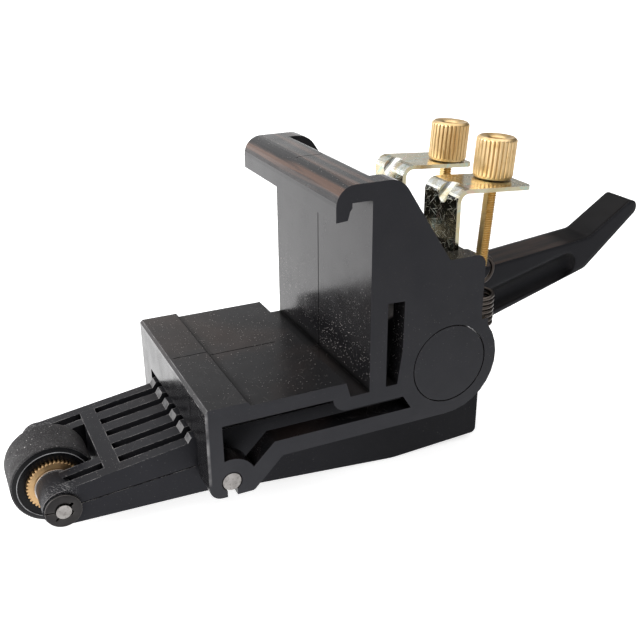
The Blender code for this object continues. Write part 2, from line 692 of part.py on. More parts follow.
def bracket(side, sign):
    y_low, y_high = sorted((sign * BRACKET_IN, sign * BRACKET_OUT))
    sheet = side_solid("bracket_" + side, [bracket_loop()], y_low - 3, y_high + 3)
    front = BRACKET_X - 10
    plan = rounded([(front, y_low, 0), (TAB_END, y_low, 2.2), (TAB_END, y_high, 2.2), (front, y_high, 0)])
    blank = outline_solid("bracket_plan_" + side, [plan], 0, BRACKET_TOP + 10, Matrix.Identity(4))
    combine(sheet, [blank], "INTERSECT")
    rib = outline_solid("rib_back_" + side, [circle(0, 0, RIB_R + SHEET, 32)], -10, 20, rib_place(sign))
    backing = side_solid("bend_backing_" + side, [bend_backing()], y_low + 1, y_high - 1)
    combine(sheet, [combine(rib, [backing], "INTERSECT")], "UNION")
    hole = double_d(ROD_R + FIT, ROD_FLAT + FIT)
    cuts = [
        outline_solid("rod_hole_" + side, [hole], -5, 5, adjust_place(sign)),
        outline_solid("rib_groove_" + side, [circle(0, 0, RIB_R, 32)], -10, 20, rib_place(sign)),
    ]
    combine(sheet, cuts, "DIFFERENCE")
    return finish(sheet, ZINC)


def threaded_rod(side, sign):
    place = adjust_place(sign)
    rod = outline_solid("threaded_rod_" + side, [double_d(ROD_R, ROD_FLAT)], ROD_BOTTOM, ROD_TOP, place)
    across = place @ Matrix.Translation((0, 0, ROD_HOLE_Z * MM)) @ ALONG_X
    hole = outline_solid("hook_hole_" + side, [circle(0, 0, ROD_HOLE_R, 20)], -5, 5, across)
    combine(rod, [hole], "DIFFERENCE")
    x, z = adjust_point()
    return finish(rod, BRASS, (x, sign * ADJUST_Y, z))


def thumb_nut(side, sign):
    loops = [toothed(NUT_R, TOOTH_DEPTH, NUT_KNURLS), circle(0, 0, NUT_BORE, 24)]
    nut = outline_solid("thumb_nut_" + side, loops, FIT, FIT + NUT_HEIGHT, adjust_place(sign))
    x, z = adjust_point()
    return finish(nut, BRASS, (x, sign * ADJUST_Y, z))


def spring_route():
    """Wire's route in x, sideways distance and z: lower loop, coil and upper loop."""
    low_x, low_z, low_r = LOW_LOOP
    top_x, top_z, top_r = TOP_LOOP
    low_end = [(x, 0, z) for x, z in arc(low_x, low_z, low_r, 475, 150)]
    low_neck = [(SPRING_X - SPRING_R + 0.6, 0, COIL_BOTTOM - NECK)]
    coil = []
    count = COIL_TURNS * COIL_STEPS
    for i in range(count + 1):
        angle = math.pi + 2 * math.pi * i / COIL_STEPS
        height = COIL_BOTTOM + (COIL_TOP - COIL_BOTTOM) * i / count
        coil.append((SPRING_X + SPRING_R * math.cos(angle), SPRING_R * math.sin(angle), height))
    top_neck = [(SPRING_X - SPRING_R + 0.6, 0, COIL_TOP + NECK)]
    top_end = [(x, 0, z) for x, z in arc(top_x, top_z, top_r, 210, -115)]
    return low_end + low_neck + coil + top_neck + top_end


def tension_spring(side, sign):
    curve = bpy.data.curves.new("spring_" + side, "CURVE")
    curve.dimensions = "3D"
    curve.bevel_depth = WIRE_R * MM
    curve.bevel_resolution = 2
    curve.use_fill_caps = True
    route = spring_route()
    spline = curve.splines.new("POLY")
    spline.points.add(len(route) - 1)
    for point, (x, y, z) in zip(spline.points, route):
        point.co = (x * MM, (y + sign * ADJUST_Y) * MM, z * MM, 1)
    item = bpy.data.objects.new("spring_" + side, curve)
    PARTS.objects.link(item)
    return finish(curve_to_mesh(item), SPRING_STEEL)


BLACK_HOUSING = make_material("black_housing", (0.012, 0.012, 0.013), 0.38)
BLACK_ARM = make_material("black_arm", (0.014, 0.014, 0.015), 0.45)
BLACK_LEVER = make_material("black_lever", (0.013, 0.014, 0.016), 0.35)
RUBBER = make_material("rubber", (0.03, 0.03, 0.031), 0.75)
BRASS = make_material("brass", (0.75, 0.54, 0.24), 0.3, 1.0)
STEEL = make_material("steel", (0.6, 0.6, 0.6), 0.35, 1.0)
ZINC = make_material("zinc", (0.72, 0.72, 0.68), 0.28, 1.0)
SPRING_STEEL = make_material("spring_steel", (0.12, 0.12, 0.12), 0.35, 1.0)

housing()
pivot_pin()
lever_cam()
roller_arm()
roller_tyre()
roller_hub()
axle_pin()
for side_name, side_sign in SIDES:
    journal(side_name, side_sign)
    axle_washer(side_name, side_sign)
    axle_retainer(side_name, side_sign)
    bracket(side_name, side_sign)
    threaded_rod(side_name, side_sign)
    thumb_nut(side_name, side_sign)
    tension_spring(side_name, side_sign)
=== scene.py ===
import json
import math

import bmesh
import bpy
from mathutils import Matrix, Vector

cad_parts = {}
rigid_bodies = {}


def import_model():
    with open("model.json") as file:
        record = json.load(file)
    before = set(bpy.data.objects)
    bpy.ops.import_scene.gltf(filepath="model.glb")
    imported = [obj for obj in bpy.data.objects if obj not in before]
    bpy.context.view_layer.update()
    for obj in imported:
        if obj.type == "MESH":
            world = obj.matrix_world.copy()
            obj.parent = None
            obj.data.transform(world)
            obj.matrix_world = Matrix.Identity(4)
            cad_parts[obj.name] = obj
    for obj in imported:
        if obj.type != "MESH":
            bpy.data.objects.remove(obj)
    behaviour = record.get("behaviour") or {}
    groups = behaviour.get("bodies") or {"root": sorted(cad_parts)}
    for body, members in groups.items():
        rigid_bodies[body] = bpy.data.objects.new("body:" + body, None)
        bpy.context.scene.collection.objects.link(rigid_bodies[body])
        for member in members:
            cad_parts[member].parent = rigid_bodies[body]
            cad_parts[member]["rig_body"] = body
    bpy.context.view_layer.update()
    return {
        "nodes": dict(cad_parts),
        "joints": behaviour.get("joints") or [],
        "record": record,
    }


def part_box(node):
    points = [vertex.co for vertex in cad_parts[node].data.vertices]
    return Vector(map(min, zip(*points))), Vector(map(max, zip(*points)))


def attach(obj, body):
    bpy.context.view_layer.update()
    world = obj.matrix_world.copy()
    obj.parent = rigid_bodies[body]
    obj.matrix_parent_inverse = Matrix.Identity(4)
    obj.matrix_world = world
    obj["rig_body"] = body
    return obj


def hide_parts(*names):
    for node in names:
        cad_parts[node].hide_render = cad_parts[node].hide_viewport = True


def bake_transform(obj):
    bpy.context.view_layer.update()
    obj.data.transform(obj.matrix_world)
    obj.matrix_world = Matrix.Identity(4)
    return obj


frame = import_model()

MM = 0.001                      # lengths are written in millimetres, and Blender works in metres
SIDES = {"left": -1, "right": 1}                # each side's name and the sign of its y
NODES = frame["nodes"]
JOINTS = {joint["name"]: joint for joint in frame["joints"]}
SLOTS = {entry["node"]: entry["material_slot"] for entry in frame["record"]["subparts"]}

# Camera: the viewing angle, the eye point and the field of view
AZIMUTH = math.radians(25.13)
ELEVATION = math.radians(24.01)
ROLL = math.radians(-0.38)
EYE = Vector((-100.17, -213.47, 109.58)) * MM
LENS = 49.73                    # on a 36 mm sensor

# Floor
FLOOR_GAP = 0.6                 # below the lowest CAD node
FLOOR_HALF = 4000               # half the length of a side
FLOOR_GREY = (0.64, 0.64, 0.64)
GLOW_TURN = math.radians(53)    # the floor's own glow fades out in this direction, toward +X and -Y
GLOW_FADE = (20, 135)           # where the fade starts and ends, from the origin

# Knurled nuts, along the rod from the bracket's tab
NUT_KNURLS = 28
NUT_GROOVE = 0.27               # depth between the knurls
NUT_BORE = 2.4                  # radius

# Threaded rods
ROD_R = 2.1
ROD_FLAT = 1.3                  # from the axis to each flat
ROD_BOTTOM = -26.3              # heights are counted from the top of the bracket's tab
ROD_TOP = 8.5
ROD_CHAMFER = 0.4
ROD_HOLE_Z = -23.7
ROD_HOLE_R = 1.0
ROD_SIDES = 40                  # vertices in one ring
THREAD_PITCH = 0.7
THREAD_DEPTH = 0.52
THREAD_LEVELS = 6               # rings of vertices in one pitch

# Springs
SPRING_X = 47.15
SPRING_R = 4.15
WIRE_R = 0.6
COIL_TOP = 9.6
COIL_BOTTOM = -0.55
COIL_TURNS = 7
COIL_STEPS = 36                 # points in one turn
TOP_LOOP = (16.35, 4.2)         # height of a loop's centre and its radius
LOW_LOOP = (-7.2, 4.2)
TOP_LOOP_ARC = (210, -115)      # where the wire starts and ends on its loop, in degrees
LOW_LOOP_ARC = (475, 150)
LOOP_STEP = 6
NECK = 2.4                      # height of the bend between the coil and a loop
NECK_IN = 0.6                   # the bend stands this far inside the coil's radius
WIRE_STEP = 0.7                 # spacing of the points along the wire
WIRE_SMOOTHING = 5              # rounds of averaging neighbouring points
SPRING_SPLIT = 4.5              # the height where the spring's wire is split into an upper and a lower half

# Roller
HUB_TEETH = 42
HUB_TOOTH = 0.5                 # depth of a tooth
HUB_R = 7.3
ROLLER_STEPS = 160              # vertices around the tyre

# Retainers. The outer arc leaves a slit open. The inner arcs, each given by its radius, start and
# end, are the bore and its square, shallow and narrow notches. All angles are in degrees.
CLIP_BORE = 2.05
CLIP_OUTER_ARC = (178, 534)
CLIP_INNER_ARCS = (
    (CLIP_BORE, 534, 404), (3.05, 402, 386), (CLIP_BORE, 384, 352), (2.5, 346, 318),
    (CLIP_BORE, 312, 236), (3.3, 232, 226), (CLIP_BORE, 222, 178),
)
CLIP_BEVEL = 0.14


# Shader node helpers -----------------------------------------------------------------------------

def feed(tree, value, socket):
    """Set a number, a vector or a colour on the socket, or link another node's output to it."""
    if isinstance(value, tuple):
        alpha = (1.0,) if socket.type == "RGBA" else ()
        socket.default_value = (*value, *alpha)
    elif isinstance(value, (int, float)):
        socket.default_value = value
    else:
        tree.links.new(value, socket)


def new_node(tree, kind, **inputs):
    """A shader node with some of its inputs set or linked, each by its name."""
    node = tree.nodes.new("ShaderNode" + kind)
    for name, value in inputs.items():
        feed(tree, value, node.inputs[name])
    return node


def combine(tree, operation, first, *others):
    """The values put together one after another by a Math node's operation."""
    for other in others:
        node = new_node(tree, "Math")
        node.operation = operation
        feed(tree, first, node.inputs[0])
        feed(tree, other, node.inputs[1])
        first = node.outputs["Value"]
    return first


def map_range(tree, value, low, high, to_low=0.0, to_high=1.0, kind="LINEAR"):
    """The value with low..high turned into to_low..to_high, and held there beyond them."""
    node = new_node(tree, "MapRange", Value=value)
    node.interpolation_type = kind
    node.clamp = True
    limits = {"From Min": low, "From Max": high, "To Min": to_low, "To Max": to_high}
    for name, number in limits.items():
        node.inputs[name].default_value = number
    return node.outputs["Result"]


# Camera, light and floor -------------------------------------------------------------------------

def place_camera():
    data = bpy.data.cameras.new("camera")
    data.lens = LENS
    data.sensor_width = 36
    data.clip_start = 0.01
    camera = bpy.data.objects.new("camera", data)
    bpy.context.scene.collection.objects.link(camera)
    turn = Matrix.Rotation(-AZIMUTH, 4, "Z") @ Matrix.Rotation(math.pi / 2 - ELEVATION, 4, "X")
    camera.matrix_world = Matrix.Translation(EYE) @ turn @ Matrix.Rotation(ROLL, 4, "Z")
    bpy.context.scene.camera = camera


def light_studio():
    """A soft dome: white horizon, two glows behind the object, a large top light and a left one."""
    world = bpy.data.worlds.new("studio")
    world.use_nodes = True
    tree = world.node_tree
    coordinates = new_node(tree, "TexCoord")
    ray = new_node(tree, "SeparateXYZ", Vector=coordinates.outputs["Generated"])

    def ramp(axis, low, high, to_low, to_high):
        return map_range(tree, ray.outputs[axis], low, high, to_low, to_high, "SMOOTHSTEP")

    def product(*values):
        return combine(tree, "MULTIPLY", *values)

    behind = ramp("Y", 0.3, 0.8, 0.0, 1.0)
    horizon = product(ramp("Z", 0.05, 0.22, 1.05, 0.18), ramp("X", 0.60, 0.85, 1.0, 0.6))
    glow = product(behind, ramp("X", 0.05, 0.50, 0.55, 0.0), ramp("Z", 0.02, 0.20, 0.0, 1.0))
    low_glow = product(behind, ramp("X", 0.45, 0.62, 0.55, 0.0), ramp("Z", 0.18, 0.40, 1.0, 0.0),
                       ramp("Z", 0.02, 0.16, 0.0, 1.0))
    top_light = ramp("Z", 0.62, 0.78, 0.0, 1.5)
    left_light = product(ramp("X", -0.78, -0.45, 4.5, 0.0), ramp("Z", 0.04, 0.12, 0.0, 1.0),
                         ramp("Z", 0.50, 0.75, 1.0, 0.0))
    strength = combine(tree, "ADD", horizon, glow, low_glow, top_light, left_light)
    background = tree.nodes["Background"]
    feed(tree, (1.0, 1.0, 1.0), background.inputs["Color"])
    feed(tree, strength, background.inputs["Strength"])
    bpy.context.scene.world = world
    bpy.context.scene.view_settings.view_transform = "Standard"


def floor_paper():
    """Pale paper with a glow of its own, which fades out beside the object."""
    material = bpy.data.materials.new("floor_paper")
    material.use_nodes = True
    tree = material.node_tree
    place = new_node(tree, "TexCoord").outputs["Object"]
    turned = new_node(tree, "Mapping", Vector=place, Rotation=(0.0, 0.0, GLOW_TURN))
    along = new_node(tree, "SeparateXYZ", Vector=turned.outputs["Vector"]).outputs["X"]
    start, end = GLOW_FADE
    inputs = {
        "Base Color": FLOOR_GREY, "Roughness": 0.9, "Specular IOR Level": 0.2, "Emission Strength": 0.8,
        "Emission Color": map_range(tree, along, start * MM, end * MM, 1.0, 0.0),
    }
    for name, value in inputs.items():
        feed(tree, value, tree.nodes["Principled BSDF"].inputs[name])
    return material


def lay_floor():
    """A large square just below the object."""
    shape = bmesh.new()
    bmesh.ops.create_grid(shape, x_segments=1, y_segments=1, size=FLOOR_HALF * MM)
    mesh = bpy.data.meshes.new("floor")
    shape.to_mesh(mesh)
    shape.free()
    mesh.materials.append(floor_paper())
    floor = bpy.data.objects.new("floor", mesh)
    floor.location.z = min(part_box(name)[0].z for name in NODES) - FLOOR_GAP * MM
    bpy.context.scene.collection.objects.link(floor)


place_camera()
light_studio()
lay_floor()


# Material building -------------------------------------------------------------------------------

MIX_A, MIX_B, MIX_RESULT = 6, 7, 2              # a Mix node's sockets for colours
AO_SAMPLES = 8
BEVEL_SAMPLES = 6


class Graph:
    """The nodes of one material. Texture scales count per metre in the object's own space, and
    places, radii and depths are in millimetres."""

    def __init__(self, name):
        self.material = bpy.data.materials.new(name)
        self.material.use_nodes = True
        self.tree = self.material.node_tree
        self.shader = self.tree.nodes["Principled BSDF"]
        coordinates = self.node("TexCoord").outputs
        self.place = coordinates["Object"]
        self.where = self.node("SeparateXYZ", Vector=self.place).outputs
        self.facing = self.node("SeparateXYZ", Vector=coordinates["Normal"]).outputs

    def node(self, kind, **inputs):
        return new_node(self.tree, kind, **inputs)

    # Arithmetic

    def times(self, *values):
        return combine(self.tree, "MULTIPLY", *values)

    def plus(self, *values):
        return combine(self.tree, "ADD", *values)

    def minus(self, *values):
        return combine(self.tree, "SUBTRACT", *values)

    def most(self, *values):
        return combine(self.tree, "MAXIMUM", *values)

    def unsigned(self, value):
        """The value without its sign."""
        node = self.node("Math")
        node.operation = "ABSOLUTE"
        feed(self.tree, value, node.inputs[0])
        return node.outputs["Value"]

    def spread(self, value, low, high, to_low=0.0, to_high=1.0):
        return map_range(self.tree, value, low, high, to_low, to_high)

    def mix(self, factor, a, b):
        """Colour a where the factor is 0, and b where it is 1."""
        node = self.node("Mix")
        node.data_type = "RGBA"
        feed(self.tree, factor, node.inputs["Factor"])
        feed(self.tree, a, node.inputs[MIX_A])
        feed(self.tree, b, node.inputs[MIX_B])
        return node.outputs[MIX_RESULT]

    # Patterns

    def stretch(self, scale, turn=(0.0, 0.0, 0.0)):
        """Texture coordinates that are turned first and scaled after."""
        turned = self.node("Mapping", Vector=self.place, Rotation=turn)
        return self.node("Mapping", Vector=turned.outputs["Vector"], Scale=scale).outputs["Vector"]

    def noise(self, scale, detail=3.0, vector=None, distortion=0.0):
        node = self.node("TexNoise", Scale=scale, Detail=detail, Distortion=distortion,
                         Vector=vector or self.place)
        return node.outputs["Fac"]

    def attribute(self, name):
        node = self.node("Attribute")
        node.attribute_name = name
        return node.outputs["Fac"]

    def specks(self, scale, size, share):
        """Small dots in a share of the cells of a Voronoi pattern."""
        cells = self.node("TexVoronoi", Scale=scale, Vector=self.place).outputs
        chance = self.node("SeparateColor", Color=cells["Color"]).outputs["Red"]
        reach = self.spread(chance, 1 - share, 1.0, 0.0, size)
        return self.spread(self.minus(reach, cells["Distance"]), 0.0, 0.05)

    def streaks(self, across, along, turn, level):
        """Short straight scratches along one direction: the peaks of a strongly stretched noise."""
        vector = self.stretch((along, across, across), turn)
        return self.spread(self.noise(1.0, 1.0, vector), level, level + 0.035)

    def crossed(self, across, along, level, turns):
        """Scratches in several directions."""
        return self.most(*[self.streaks(across, along, turn, level) for turn in turns])

    # Where on the object

    def above(self, axis, level, soft):
        """1 above a level along an axis, fading to 0 over a soft stretch below it."""
        return self.spread(self.where[axis], (level - soft) * MM, level * MM)

    def below(self, axis, level, soft):
        """1 below a level along an axis, fading to 0 over a soft stretch above it."""
        return self.spread(self.where[axis], level * MM, (level + soft) * MM, 1.0, 0.0)

    def band(self, axis, low, high, soft):
        """1 between two levels along an axis, with soft ends outside them."""
        return self.times(self.above(axis, low, soft), self.below(axis, high, soft))

    def up(self):
        """1 on level faces that look up, 0 on upright ones."""
        return self.spread(self.facing["Z"], 0.5, 0.9)

    def sideways(self):
        """1 on faces that look along y, 0 on the others."""
        return self.spread(self.unsigned(self.facing["Y"]), 0.85, 0.97)

    def rounded(self, radius):
        """Normals that turn softly over the edges."""
        node = self.node("Bevel", Radius=radius * MM)
        node.samples = BEVEL_SAMPLES
        return node.outputs["Normal"]

    def edges(self, radius):
        """1 on the rim of sharp edges, 0 on flat ground."""
        dot = self.node("VectorMath")
        dot.operation = "DOT_PRODUCT"
        feed(self.tree, self.rounded(radius), dot.inputs[0])
        feed(self.tree, self.node("NewGeometry").outputs["Normal"], dot.inputs[1])
        return self.spread(dot.outputs["Value"], 0.985, 0.90)

    def openness(self, reach, low, high):
        """1 on open ground, 0 deep in a recess or a narrow gap of the same body."""
        node = self.node("AmbientOcclusion", Distance=reach * MM)
        node.samples = AO_SAMPLES
        node.only_local = True
        return self.spread(node.outputs["AO"], low, high)

    # The shader

    def bump(self, height, distance, normal=None):
        """Normals of a relief that is as deep as the distance, on top of other normals if given."""
        node = self.node("Bump", Height=height, Distance=distance * MM)
        if normal:
            feed(self.tree, normal, node.inputs["Normal"])
        return node.outputs["Normal"]

    def finish(self, colour, roughness, normal, **others):
        """Connect the shader. others names further inputs, with _ for each space."""
        inputs = {"Base Color": colour, "Roughness": roughness, "Normal": normal}
        inputs.update({name.replace("_", " "): value for name, value in others.items()})
        for name, value in inputs.items():
            feed(self.tree, value, self.shader.inputs[name])
        return self.material


# Marks, painted shade, highlights and reflections on single places of the plastic pieces ---------

def worn_front_edge(g):
    """Two thin rubbed lines along the box's front top edge, and its rubbed near front corner."""
    front = g.below("X", -45.4, 0.4)
    top_line = g.band("Z", 1.02, 1.3, 0.08)
    low_line = g.times(g.band("Z", -0.05, 0.12, 0.12), 0.7)
    corner = g.times(g.below("Y", -30.55, 0.2), g.band("Z", -19, 2, 2), 0.5)
    broken = g.spread(g.noise(260, 5.0), 0.40, 0.62, 0.12, 0.7)
    return g.times(front, g.most(top_line, low_line, corner), broken)


def step_shade_lines(g):
    """Painted shade: dark lines along the top and the foot of the small step across the deck."""
    top_line = g.band("X", -34.65, -34.3, 0.08)
    foot_line = g.times(g.band("X", -33.8, -32.9, 0.5), 0.3)
    on_step = g.times(g.band("Z", -0.4, 1.4, 0.2), g.spread(g.facing["Z"], 0.2, 0.5))
    return g.times(g.most(top_line, foot_line), on_step, 0.9)


def hook_brown_reflection(g):
    """Painted reflection: brownish bands along the hook's round, and faint brown clouds on the deck."""
    bands = g.spread(g.noise(1.0, 3.0, g.stretch((520, 14, 520))), 0.46, 0.60)
    hook = g.times(g.above("Z", 50, 1), bands)
    clouds = g.times(g.up(), g.spread(g.noise(32, 4.0, distortion=0.5), 0.48, 0.66), 0.16)
    deck = g.times(clouds, g.below("Z", 2, 2))
    not_side = g.spread(g.unsigned(g.facing["Y"]), 0.3, 0.6, 1.0, 0.0)
    return g.times(not_side, g.most(hook, deck))


def lever_tip_shade(g):
    """Painted shade on the top of the lever's bent tip: darker, with weaker reflections than the rest."""
    return g.times(g.band("X", 86, 115, 4), g.spread(g.facing["Z"], 0.3, 0.6), 0.6)


def lever_brown_streaks(g):
    """Brownish streaks along the top of the lever's bar."""
    streak = g.spread(g.noise(1.0, 3.0, g.stretch((7, 620, 620), (0.0, 0.17, 0.0))), 0.42, 0.66)
    top = g.times(g.band("X", 38, 82, 8), g.above("Z", 14, 6))
    return g.times(g.up(), streak, top, 0.38)


def scuffs_and_rib_highlight(g):
    """Fine scratches on the round ends of the arm, beside the retainers, and pale rib ends: a painted
    highlight on their sloped faces.
    """
    slope = g.times(g.spread(g.facing["X"], -0.6, -0.35, 1.0, 0.0), g.spread(g.facing["Z"], 0.2, 0.4))
    uneven = g.spread(g.noise(500, 3.0), 0.35, 0.6, 0.25, 0.8)
    # Painted highlight: the sloped faces at the rib ends turn pale in uneven patches.
    rib_end_highlight = g.times(slope, g.band("X", -48.0, -46.0, 0.3), uneven)
    around_axle = g.times(g.band("X", -86, -77.5, 1.5), g.band("Z", -24, -18, 2))
    outer = g.spread(g.unsigned(g.where["Y"]), 13.0 * MM, 16.5 * MM)
    fine = g.most(g.streaks(5200, 500, (0.0, 0.0, 1.1), 0.60), g.specks(3600, 0.2, 0.3))
    return g.most(g.times(around_axle, outer, fine, 0.28), g.times(rib_end_highlight, 0.26))


def rear_painted_shade(g):
    """Painted shade: the arm darkens toward the rear, where the housing keeps light from it."""
    return g.above("X", 15, 50)


# Materials ---------------------------------------------------------------------------------------

LEVEL_TURNS = ((0.0, 0.0, 0.45), (0.0, 0.0, 1.35), (0.0, 0.0, 2.2))
UPRIGHT_TURNS = tuple((angle, 0.0, math.pi / 2) for angle in (0.3, 0.8, 1.45, 2.1, 2.75))

DUST = (0.42, 0.39, 0.37)
# A brown tint: a painted reflection on the housing's hook and deck, and brownish streaks on the lever's bar.
BROWN_TINT = (0.075, 0.043, 0.031)
RUBBED_EDGE = (0.28, 0.27, 0.265)
PALE_WEAR_AND_HIGHLIGHT = (0.46, 0.45, 0.45)
FLANK_DARK = (0.035, 0.033, 0.032)
RUBBER_RIM_HIGHLIGHT = (0.16, 0.16, 0.165)
RUBBER_GRAIN = (0.085, 0.080, 0.083)
RUBBER_DUST = (0.50, 0.48, 0.47)
CORE_DUST = (0.35, 0.34, 0.33)
ZINC_STRAW = (0.54, 0.46, 0.27)
ZINC_PALE = (0.60, 0.57, 0.43)
ZINC_GREEN = (0.44, 0.54, 0.46)
ZINC_PINK = (0.64, 0.46, 0.36)
ZINC_BEND_HIGHLIGHT = (0.84, 0.87, 0.86)
ZINC_SCRATCH = (0.88, 0.88, 0.80)
ZINC_EDGE = (0.62, 0.53, 0.42)


def shaded(colour, share):
    return tuple(share * part for part in colour)


def settled_dust(g, up, dust_from):
    """Dots of dust in four sizes and in patches, on level faces and, thinning upward, on walls."""
    dots = g.most(g.times(g.specks(1900, 0.26, 0.42), 0.8), g.specks(1150, 0.20, 0.24),
                  g.specks(640, 0.13, 0.14), g.specks(330, 0.07, 0.12))
    patches = g.spread(g.noise(34, 3.0), 0.38, 0.60, 0.25, 1.0)
    low_wall = g.spread(g.where["Z"], 6 * MM, 26 * MM, 0.9, 0.22)
    return g.times(dots, patches, g.most(up, low_wall), g.above("Z", dust_from, 1))


def rubbed_edges(g):
    """Broken pale rims along the edges that look up."""
    blotches = g.spread(g.noise(240, 4.0), 0.42, 0.62)
    sparkle = g.times(g.spread(g.noise(1300, 2.0), 0.50, 0.62), 0.7)
    return g.times(g.edges(0.4), g.most(blotches, sparkle), g.spread(g.facing["Z"], 0.15, 0.5))


def moulded_plastic(name, dark, light, rough, side_rough, ior, dust, scratch, wear, dust_from=-50,
                    pale=None, painted_shade=None, brown_tint=None, painted_shade_marks=None, hollow=(3, 0.45, 0.92),
                    rounding=None):
    """Black moulded plastic: mottling, fine grain, settled dust, hair scratches and rubbed edges, with
    painted shade on faces that look up and in recesses, and a painted reflection in the specular tint.

    Its tone lies between dark and light. Faces that look along y have the roughness side_rough.
    dust, scratch and wear are the strengths of the marks, and dust settles above dust_from. pale,
    deeper, stain and seam are functions that give masks: pale wear (on the arm also a painted
    highlight), painted shade on the ground, a brown tint (on the housing a painted reflection), and
    painted shade that darkens the colour and weakens the reflections. hollow is what openness()
    takes. With rounding, the normals turn softly over edges.
    """
    g = Graph(name)
    side = g.sideways()
    up = g.up()

    colour = g.mix(g.spread(g.noise(60, 4.0, distortion=0.4), 0.3, 0.7), dark, light)
    # deeper gives painted shade: there the colour goes toward a darker tone.
    if painted_shade:
        colour = g.mix(painted_shade(g), colour, shaded(dark, 0.3))
    # Painted shade: faces that look up are pulled up to halfway toward the dark tone.
    colour = g.mix(g.times(up, 0.5), colour, dark)
    open_ground = g.openness(*hollow)
    # seam gives painted shade: like a deep recess, it darkens the colour and weakens the reflections.
    if painted_shade_marks:
        open_ground = g.times(open_ground, g.minus(1.0, painted_shade_marks(g)))
    # Painted shade: the colour goes nearly black deep in recesses and where seam is dark.
    colour = g.mix(open_ground, shaded(dark, 0.1), colour)

    exposed = g.spread(side, 0.0, 1.0, 1.0, 0.25)
    dusty = g.times(settled_dust(g, up, dust_from), exposed, open_ground, dust)
    hairs = g.crossed(5200, 150, 0.72, LEVEL_TURNS)
    scratched = g.times(hairs, exposed, g.spread(g.noise(90, 2.0), 0.45, 0.6), scratch)
    marks = g.most(dusty, scratched)
    colour = g.mix(marks, colour, DUST)
    # stain gives the brown tint: a painted reflection on the housing, brownish streaks on the lever.
    if brown_tint:
        colour = g.mix(g.times(brown_tint(g), open_ground), colour, BROWN_TINT)
    colour = g.mix(g.times(rubbed_edges(g), wear), colour, RUBBED_EDGE)
    # pale gives pale wear, and on the arm's rib ends a painted highlight.
    if pale:
        colour = g.mix(pale(g), colour, PALE_WEAR_AND_HIGHLIGHT)

    ground = g.spread(side, 0.0, 1.0, rough, side_rough)
    waver = g.spread(g.noise(150, 3.0), 0.3, 0.7, -0.05, 0.06)
    roughness = g.plus(ground, waver, g.times(marks, 0.3))

    height = g.plus(g.times(g.noise(2600, 2.0), 0.6), g.times(g.noise(480, 2.0), 0.4))
    normal = g.bump(height, 0.010, g.rounded(rounding) if rounding else None)
    normal = g.bump(marks, 0.015, normal)

    # Painted reflection: the specular tint is warm in patches on faces that look up, and bluish on faces
    # that look along y.
    warm = g.times(up, g.spread(g.noise(28, 3.0), 0.45, 0.65))
    reflection_tint = g.mix(warm, g.mix(side, (1.0, 0.97, 1.0), (0.88, 0.89, 1.0)), (1.0, 0.84, 0.76))
    # Painted shade: reflections weaken deep in recesses and where seam is dark; they are also a little
    # weaker on faces that look along y.
    level = g.times(g.spread(open_ground, 0.0, 1.0, 0.02, 0.5), g.spread(side, 0.0, 1.0, 1.0, 0.86))
    return g.finish(colour, roughness, normal, IOR=ior, Specular_Tint=reflection_tint, Specular_IOR_Level=level)


def metal(name, dark, light, rough, grain=900, depth=0.01, spots=None, groove=None, scratches=0.3,
          edge=None, flank_darkening=0.0):
    """Bare metal: uneven tone, fine grain, scratches, optional dull spots, darker grooves as painted
    shade, brighter edges as a painted highlight, and darker flanks on a pin whose ends look along y."""
    g = Graph(name)
    colour = g.mix(g.spread(g.noise(grain * 0.12, 4.0), 0.32, 0.68), dark, light)
    if spots:
        colour = g.mix(g.spread(g.noise(grain * 0.5, 2.0), 0.54, 0.70), colour, spots)
    # Painted shade: the grooves between teeth and threads take a darker colour.
    if groove:
        colour = g.mix(g.attribute("groove"), colour, groove)
    # Painted highlight: the rims of sharp edges take a lighter colour.
    edge = edge or tuple(min(1.0, part) for part in shaded(light, 1.25))
    colour = g.mix(g.times(g.edges(0.25), 0.45), colour, edge)
    # Faces of a pin that do not look along y, its flanks, are darkened.
    if flank_darkening:
        flank = g.spread(g.unsigned(g.facing["Y"]), 0.80, 0.95, flank_darkening, 0.0)
        colour = g.mix(flank, colour, FLANK_DARK)
    lines = g.times(g.crossed(5200, 320, 0.70, LEVEL_TURNS), scratches)
    ground = g.spread(g.noise(grain * 0.3, 3.0), 0.3, 0.7, rough - 0.07, rough + 0.09)
    roughness = g.plus(ground, g.times(lines, 0.35))
    normal = g.bump(lines, 0.008, g.bump(g.noise(grain, 3.0), depth))
    return g.finish(colour, roughness, normal, Metallic=1.0)


